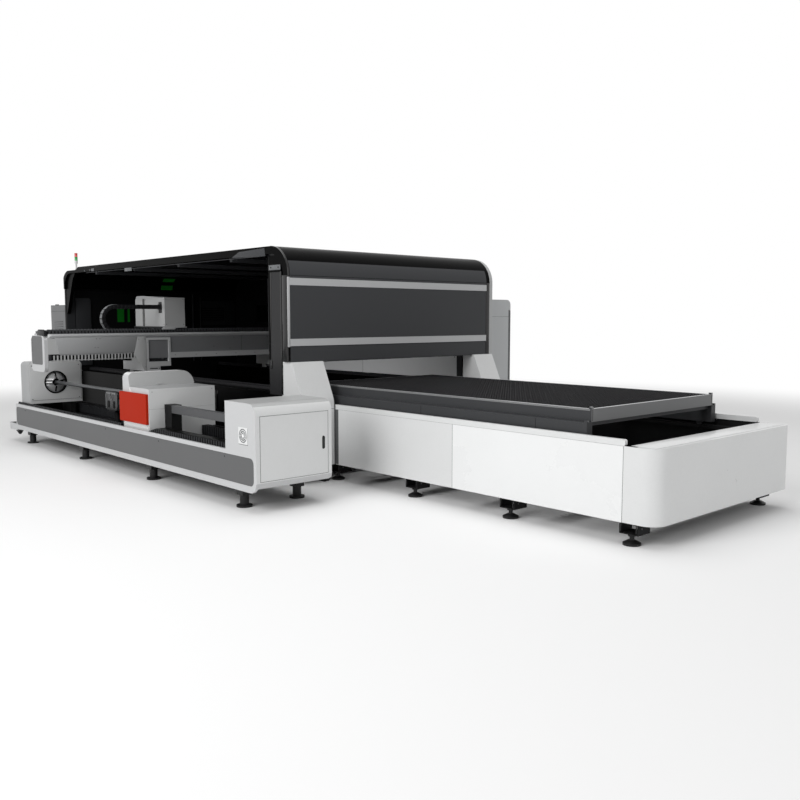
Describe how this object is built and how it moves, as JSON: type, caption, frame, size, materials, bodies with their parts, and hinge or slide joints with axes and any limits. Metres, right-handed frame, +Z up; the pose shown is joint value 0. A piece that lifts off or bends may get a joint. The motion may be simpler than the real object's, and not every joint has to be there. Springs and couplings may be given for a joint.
{
  "type": "fiber laser cutting machine",
  "caption": "Sheet and tube laser cutting machine: open-sided enclosure with a rounded roof, gantry beam, slatted exchange table and a tube bed with two rotating chucks.",
  "frame": {"origin": "middle of the floor outline, on the floor", "axes": "+X from the cutting cell to the exchange table, +Y from the tube bed to the far side, +Z up"},
  "size_m": [8.66, 3.94, 2.201],
  "materials": {
    "white_paint": "satin white powder coat",
    "grey_paint": "satin mid-grey powder coat on the recessed side panel",
    "table_grey": "satin light-grey powder coat",
    "dark_paint": "semi-matte dark grey powder coat on the enclosure",
    "black_paint": "semi-matte black powder coat on roof and posts",
    "trim_grey": "satin light-grey trim strip",
    "frame_paint": "satin grey structural paint",
    "pallet_grey": "satin dark grey powder coat",
    "red_panel": "satin orange-red powder coat",
    "chuck_grey": "satin steel-grey paint",
    "slat_steel": "dull hot-rolled sheet steel",
    "bright_steel": "ground steel",
    "tube_steel": "drawn tube, bright",
    "foot_black": "black oxide and rubber-faced pad",
    "chain_plastic": "matte black nylon links",
    "pane": "green-tinted laser-safe pane",
    "lens": "coloured signal lens, green below and red above",
    "nozzle": "satin"
  },
  "bodies": {
    "machine": {"main_frame": "frame_paint", "levelling_feet": "foot_black", "gantry_rails": "bright_steel", "roof_shell": "black_paint", "far_wall": "dark_paint", "far_side_cover": "white_paint", "viewing_windows": "pane", "rear_wall": "dark_paint", "front_hood": "dark_paint", "hood_trim_strips": "trim_grey", "near_front_post": "black_paint", "near_rear_arch": "black_paint", "near_cowl": "white_paint", "far_cowl": "white_paint", "table_frame": "black_paint", "near_table_panel_inner": "table_grey", "near_table_panel_outer": "table_grey", "far_table_panel": "table_grey", "table_end_cover": "table_grey", "near_table_rim": "table_grey", "far_table_rim": "table_grey", "tube_bed_frame": "white_paint", "tube_bed_panel": "grey_paint", "chuck_ways": "slat_steel", "rack_guards": "chain_plastic", "end_box_shell": "white_paint", "fan_grille": "table_grey", "front_chuck_housing": "white_paint", "front_chuck_side_panel": "red_panel", "unloading_bar": "frame_paint", "electrical_cabinet": "white_paint", "laser_cabinet": "white_paint", "signal_stem": "white_paint", "signal_lenses": "lens"},
    "gantry": {"gantry_beam": "white_paint", "beam_cover": "white_paint", "beam_end_cap": "white_paint", "near_gantry_carriage": "white_paint", "far_gantry_carriage": "white_paint", "beam_cable_chain": "chain_plastic", "head_chain_loop": "chain_plastic"},
    "head_carriage": {"head_slide_plate": "frame_paint", "head_box": "white_paint"},
    "cutting_head": {"cutting_head": "nozzle"},
    "upper_pallet": {"upper_pallet_frame": "pallet_grey", "upper_pallet_slats": "slat_steel"},
    "lower_pallet": {"lower_pallet_frame": "pallet_grey", "lower_pallet_slats": "slat_steel"},
    "pallet_drive": {"pallet_drive_shaft": "bright_steel"},
    "rear_carriage": {"rear_chuck_housing": "white_paint"},
    "rear_rotor": {"rear_chuck_rotor": "chuck_grey"},
    "rear_jaw_1": {"rear_jaw_1": "bright_steel"},
    "rear_jaw_2": {"rear_jaw_2": "bright_steel"},
    "rear_jaw_3": {"rear_jaw_3": "bright_steel"},
    "rear_jaw_4": {"rear_jaw_4": "bright_steel"},
    "front_rotor": {"front_chuck_rotor": "chuck_grey", "stock_tube": "tube_steel"},
    "tube_support": {"tube_support": "bright_steel"},
    "end_box_door": {"end_box_door": "white_paint"},
    "electrical_cabinet_door": {"electrical_cabinet_door": "white_paint"}
  },
  "joints": [
    {"name": "gantry_travel", "type": "slide", "parent": "machine", "child": "gantry", "axis": [1, 0, 0], "range_m": [-0.75, 2.7]},
    {"name": "head_cross_travel", "type": "slide", "parent": "gantry", "child": "head_carriage", "axis": [0, 1, 0], "range_m": [-1.2, 1.38], "deforming": ["head_chain_loop"]},
    {"name": "head_height", "type": "slide", "parent": "head_carriage", "child": "cutting_head", "axis": [0, 0, 1], "range_m": [-0.1, 0.15]},
    {"name": "upper_pallet_travel", "type": "slide", "parent": "machine", "child": "upper_pallet", "axis": [1, 0, 0], "range_m": [-4.14, 0]},
    {"name": "lower_pallet_travel", "type": "slide", "parent": "machine", "child": "lower_pallet", "axis": [1, 0, 0], "range_m": [0, 4.14]},
    {"name": "pallet_drive_spin", "type": "hinge", "parent": "machine", "child": "pallet_drive", "pos_m": [1.35, 0.185, 0.192], "axis": [0, 1, 0], "continuous": true},
    {"name": "rear_chuck_feed", "type": "slide", "parent": "machine", "child": "rear_carriage", "axis": [1, 0, 0], "range_m": [-0.02, 1.25]},
    {"name": "rear_rotor_spin", "type": "hinge", "parent": "rear_carriage", "child": "rear_rotor", "pos_m": [-2.85, -1.633, 0.682], "axis": [1, 0, 0], "continuous": true},
    {"name": "front_rotor_spin", "type": "hinge", "parent": "machine", "child": "front_rotor", "pos_m": [-0.27, -1.633, 0.682], "axis": [1, 0, 0], "continuous": true},
    {"name": "rear_jaw_1_grip", "type": "slide", "parent": "rear_rotor", "child": "rear_jaw_1", "axis": [0, 0, 1], "range_m": [0, 0.03]},
    {"name": "rear_jaw_2_grip", "type": "slide", "parent": "rear_rotor", "child": "rear_jaw_2", "axis": [0, -1, 0], "range_m": [0, 0.03]},
    {"name": "rear_jaw_3_grip", "type": "slide", "parent": "rear_rotor", "child": "rear_jaw_3", "axis": [0, 0, -1], "range_m": [0, 0.03]},
    {"name": "rear_jaw_4_grip", "type": "slide", "parent": "rear_rotor", "child": "rear_jaw_4", "axis": [0, 1, 0], "range_m": [0, 0.03]},
    {"name": "support_lift", "type": "slide", "parent": "machine", "child": "tube_support", "axis": [0, 0, 1], "range_m": [-0.1, 0]},
    {"name": "end_box_door_hinge", "type": "hinge", "parent": "machine", "child": "end_box_door", "pos_m": [1.8975, -1.9282, 0.471], "axis": [0, 0, -1], "range_deg": [0, 100]},
    {"name": "electrical_cabinet_door_hinge", "type": "hinge", "parent": "machine", "child": "electrical_cabinet_door", "pos_m": [0.8632, 1.9665, 0.74], "axis": [0, 0, -1], "range_deg": [0, 110]}
  ],
  "couplings": [
    {"joint": "rear_jaw_2_grip", "follows": "rear_jaw_1_grip", "ratio": 1},
    {"joint": "rear_jaw_3_grip", "follows": "rear_jaw_1_grip", "ratio": 1},
    {"joint": "rear_jaw_4_grip", "follows": "rear_jaw_1_grip", "ratio": 1},
    {"joint": "front_rotor_spin", "follows": "rear_rotor_spin", "ratio": 1}
  ]
}
